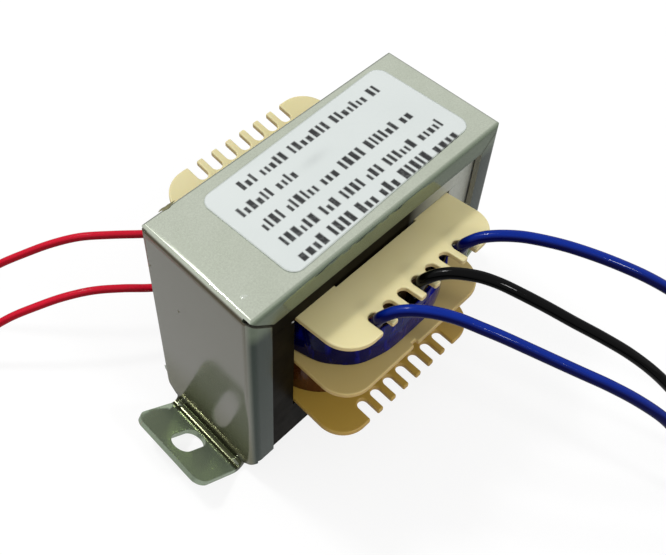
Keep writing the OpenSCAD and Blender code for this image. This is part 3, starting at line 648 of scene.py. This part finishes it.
# ---------------------------------------------------------------- core, bracket, bobbin

# The nodes whose own shape is right take a finish; the windings and splices lie mostly hidden
OWN_SHAPES = [
    (core_steel, ["e_sheets_yoke_down", "e_sheets_yoke_up", "i_sheets_top", "i_sheets_bottom"]),
    (primary_wire, ["primary_winding"]),
    (secondary_wire, ["secondary_inner_winding", "secondary_outer_winding"]),
    (amber_film, ["interlayer_tape", "primary_tape"]),
    (solder_tin, ["primary_splices", "secondary_splices"]),
]
for finish, finished in OWN_SHAPES:
    for node in finished:
        shown_mesh = nodes[node].data
        shown_mesh.materials.clear()
        shown_mesh.materials.append(finish)

strap = eased_copy("clamp_bracket", "bracket_strap", [bracket_steel, burnished_highlit_steel], edge=0.14,
                   clamp=True)
fit(strap, "tinned_steel", "clamp_bracket")
moulding = eased_copy("bobbin", "bobbin_moulding", [bobbin_nylon], edge=0.3, segments=3)
fit(moulding, "nylon", "bobbin")


# ---------------------------------------------------------------- tapes

def dents(across, levels, waves=14, seed=3):
    """How far a hand-wound wrap is pressed in, from 0 to 1: a sum of sine waves that go round
    and climb, with their phases drawn at random, stretched and cut off at both ends."""
    rng = np.random.default_rng(seed)
    t = np.linspace(0, 2 * np.pi, across, endpoint=False)
    total = np.zeros((len(levels), across))
    for _ in range(waves):
        turns, climb, phase = rng.integers(3, 22), rng.uniform(-9, 9), rng.uniform(0, 2 * np.pi)
        total += np.sin(turns * t[None] + climb * levels[:, None] + phase) / waves
    return np.clip(0.5 + 1.6 * total, 0, 1)


def tape_wrap(name, node, finish, wall, crease, square=(3.0, 2.45), across=288, up=48):
    """A wrap of tape: x = a |cos t|^p, y = b |sin t|^p round the winding, with b the depth in
    front or behind and p = 2 / square, one number for each end. Its closed section goes up the
    outside, over the edge and down the inside, and dents press it in by up to crease."""
    low, high = (np.array(corner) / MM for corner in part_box(node))
    t = np.linspace(0, 2 * np.pi, across, endpoint=False)
    c, s = np.cos(t), np.sin(t)
    power = np.where(c < 0, 2 / square[0], 2 / square[1])
    ring = np.stack([np.sign(c) * np.abs(c) ** power, np.sign(s) * np.abs(s) ** power], -1)
    depth = np.where(s < 0, -low[1], high[1])
    # The section: level runs from the bottom up and back down, and the edges are eased
    level = np.concatenate([np.linspace(0, 1, up), np.linspace(1, 0, up)])
    inside = np.concatenate([np.zeros(up), np.ones(up)])
    inside[[0, up - 1]] = 0.35
    dent = crease * dents(across, level)
    inset = np.where(inside[:, None] > 0.5, wall, dent + wall * inside[:, None])
    grid = np.stack([
        ring[None, :, 0] * (high[0] - inset),
        ring[None, :, 1] * (depth[None] - inset),
        np.broadcast_to((low[2] + (high[2] - low[2]) * level)[:, None], inset.shape)], -1)
    return skin(name, grid, [finish], round_rows=True, round_columns=True)


def tape_flap(name, finish, foot, crest, width, thick=0.16, bulge=0.9, lean=(0.45, 0.25, 0.85)):
    """The tape's loose end: a band, width wide along lean, that runs from foot to crest, narrows
    by a third, bows outwards by bulge sin(pi s), and flutters by two small sine waves; its
    section is closed."""
    s = np.linspace(0, 1, 60)[:, None]
    across = np.linspace(0, 1, 12)
    v = np.concatenate([across, across[::-1]])[None]
    back = np.concatenate([np.zeros(12), np.ones(12)])[None]
    foot, crest = np.array(foot, float), np.array(crest, float)
    bow = bulge * np.sin(np.pi * s) + 0.12 * np.sin(9 * s + 3 * v) + 0.08 * np.sin(23 * s - 5 * v)
    offset = width * (1 - 0.35 * s) * (v - 0.5)
    grid = foot + s[..., None] * (crest - foot) + offset[..., None] * np.array(lean)
    grid[..., 1] += thick * back - bow
    grid[[0, -1]] = grid[[0, -1]].mean(1, keepdims=True)
    return skin(name, grid, [finish], round_columns=True)


wrap = tape_wrap("secondary_outer_wrap", "secondary_tape", blue_film, wall=0.2, crease=0.16)
fit(wrap, "blue_tape", "secondary_tape")
flap = tape_flap("secondary_tape_flap", blue_film, foot=(-1.5, -20.6, 34.6), crest=(9.4, -19.9, 38.4),
                 width=3.4)
fit(flap, "blue_tape")


# ---------------------------------------------------------------- wear and dirt

def fleck(name, finish, middle, u, v, out, lobes, phase, rings=9, sides=28):
    """A small uneven dome: middle + rho (1 + sum of sines) (cos t u + sin t v) + sqrt(1 - rho^2)
    out, with rho from 0 to 1; it closes on a back a tenth of its height below."""
    rise = np.linspace(0, 1, rings)
    rho = np.concatenate([rise, [0.5, 0]])[:, None]
    height = np.concatenate([np.sqrt(1 - rise**2), [-0.1, -0.1]])[:, None]
    t = np.linspace(0, 2 * np.pi, sides, endpoint=False)[None]
    edge = 1 + 0.22 * np.sin(lobes * t + phase) + 0.12 * np.sin((2 * lobes + 1) * t - phase)
    grid = (np.array(middle, float) + (rho * edge * np.cos(t))[..., None] * np.array(u, float)
            + (rho * edge * np.sin(t))[..., None] * np.array(v, float)
            + (height * np.ones_like(t))[..., None] * np.array(out, float))
    return skin(name, grid, [finish], round_columns=True)


# On the bracket and the core: finish, place, the two half widths, how far it stands out, and the
# lobes of its edge with their phase
FLECKS = {
    "varnish_chip_rear_edge": (
        dry_varnish, (-24, BRACKET_SIDE - 0.39, BRACKET_TOP - 0.13),
        (1.5, 0, 0), (0, 0.4, -0.1), (0, 0.02, 0.1), 3, 0.4),
    "bright_nick_foot_front": (
        burnished_highlit_steel, (-BRACKET_END - 0.6, -8.2, 1.35),
        (0.1, 0.75, 0), (-0.35, 0.1, 0.2), (-0.05, 0, 0.09), 2, 1.2),
    "bright_nick_foot_rear": (
        burnished_highlit_steel, (-BRACKET_END - 0.65, 7.9, 1.3),
        (0.1, 0.6, 0), (-0.3, 0.1, 0.2), (-0.05, 0, 0.08), 3, 2.0),
    "grey_speck_core": (
        solder_tin, (-19.4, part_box("e_sheets_yoke_down")[0].y / MM - 0.01, 41.4),
        (0.28, 0, 0), (0, 0, 0.22), (0, -0.08, 0), 3, 0.0),
    "dimple_top_corner": (
        burnished_highlit_steel, (-26.6, -8.6, BRACKET_TOP + 0.01),
        (0.5, -0.3, 0), (0.2, 0.3, 0), (0, 0, 0.03), 3, 0.7),
    "nick_end_edge": (
        dry_varnish, (-BRACKET_END - 0.02, 11.2, 43.5),
        (0, 0.3, -0.5), (0, 0.12, 0.1), (-0.03, 0, 0), 2, 0.2),
    "burr_rear_end_lip": (
        burnished_highlit_steel, (-BRACKET_END + 0.75, BRACKET_SIDE - 0.14, 7.2),
        (0, 0.45, 0.3), (0, -0.2, 0.9), (-0.15, 0.1, 0), 2, 0.6),
    "spot_end_panel": (
        dry_varnish, (-BRACKET_END - 0.02, 4.6, 37.2),
        (0, 0.22, 0), (0, 0, 0.22), (-0.02, 0, 0), 3, 1.1),
}
for name, (finish, *shape) in FLECKS.items():
    slot = "tinned_steel" if finish is burnished_highlit_steel else "silicon_steel"
    fit(fleck(name, finish, *shape), slot)


# ---------------------------------------------------------------- rating label

# The print's rows, in the label's own millimetres: left end, right end, height at each end, the
# marks' height and how much wider they are than usual. The marks are plain blocks.
PRINT_ROWS = [
    (-15.4, 17.8, 7.85, 6.9, 2.1, 1),
    (-19.3, -6.4, 3.9, 3.6, 2.1, 1),
    (-18.6, 17.0, -0.6, -1.2, 2.2, 1),
    (-18.5, 19.8, -4.8, -6.2, 2.1, 1),
    (-18.8, 18.5, -8.6, -9.7, 2.3, 1.2),
]
MARK_GAP, WORD_GAP, SOFT_EDGE = 0.5, 0.9, 0.16
# The smudge between the first two rows: its middle, its half length and height, and its darkness
SMUDGE_AT, SMUDGE_SIZE, SMUDGE_INK = (-2.6, 3.3), (2.6, 0.9), 0.12


def print_marks(x, y, seed=11):
    """How much ink lies at each point: each row holds words of 3 to 7 plain blocks, whole or
    two thirds as tall and standing on the same line, each with a soft edge."""
    rng = np.random.default_rng(seed)
    ink = np.zeros_like(x)
    for left, right, start, end, tall, stretch in PRINT_ROWS:
        at = left
        while at < right - 1.2:
            for _ in range(rng.integers(3, 8)):
                wide = rng.uniform(0.5, 1.05) * stretch
                high = tall * rng.choice([1, 1, 0.66])
                if at + wide > right:
                    break
                foot = start + (end - start) * (at + wide / 2 - left) / (right - left) - tall / 2
                off = np.maximum(np.abs(x - at - wide / 2) - wide / 2, np.abs(y - foot - high / 2) - high / 2)
                ink = np.maximum(ink, np.clip(0.5 - off / SOFT_EDGE, 0, 1))
                at += wide + MARK_GAP
            at += WORD_GAP
    off_x, off_y = (x - SMUDGE_AT[0]) / SMUDGE_SIZE[0], (y - SMUDGE_AT[1]) / SMUDGE_SIZE[1]
    return np.maximum(ink, SMUDGE_INK * np.exp(-(off_x**2 + off_y**2)))


def label(length=44.1, width=21.2, corner=2.4, thick=0.15, shift=2.7, turn=1.9, worn_edge=0.3):
    """A rounded rectangle: at height y its half length is l/2 - r + sqrt(r^2 - e^2), where e is
    how far y is past the corner's centre. Two rings round it drop over the cut edge."""
    v = np.concatenate([[-1, -1], np.linspace(-1, 1, 142), [1, 1]])
    u = np.concatenate([[-1, -1], np.linspace(-1, 1, 290), [1, 1]])
    y = v * width / 2
    past = np.clip(np.abs(y) - (width / 2 - corner), 0, corner)
    half = length / 2 - corner + np.sqrt(np.maximum(corner**2 - past**2, 0))
    px = u[None] * half[:, None]
    py = np.broadcast_to(y[:, None], px.shape)
    drop = np.zeros(px.shape)
    drop[[0, -1]] = drop[:, [0, -1]] = thick * 0.97
    inward = np.minimum(half[:, None] - np.abs(px), width / 2 - np.abs(py))
    edge = np.clip(1 - inward / worn_edge, 0, 1)
    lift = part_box("rating_label")[1].z / MM - drop - thick / 5 * edge
    a = np.radians(turn)
    grid = np.stack([shift + np.cos(a) * px - np.sin(a) * py, np.sin(a) * px + np.cos(a) * py, lift], -1)
    return skin("blank_rating_label", grid, [label_film],
                layers={"ink": print_marks(px, py)[None], "rim": edge[None] ** 0.5})


fit(label(), "label_paper", "rating_label")
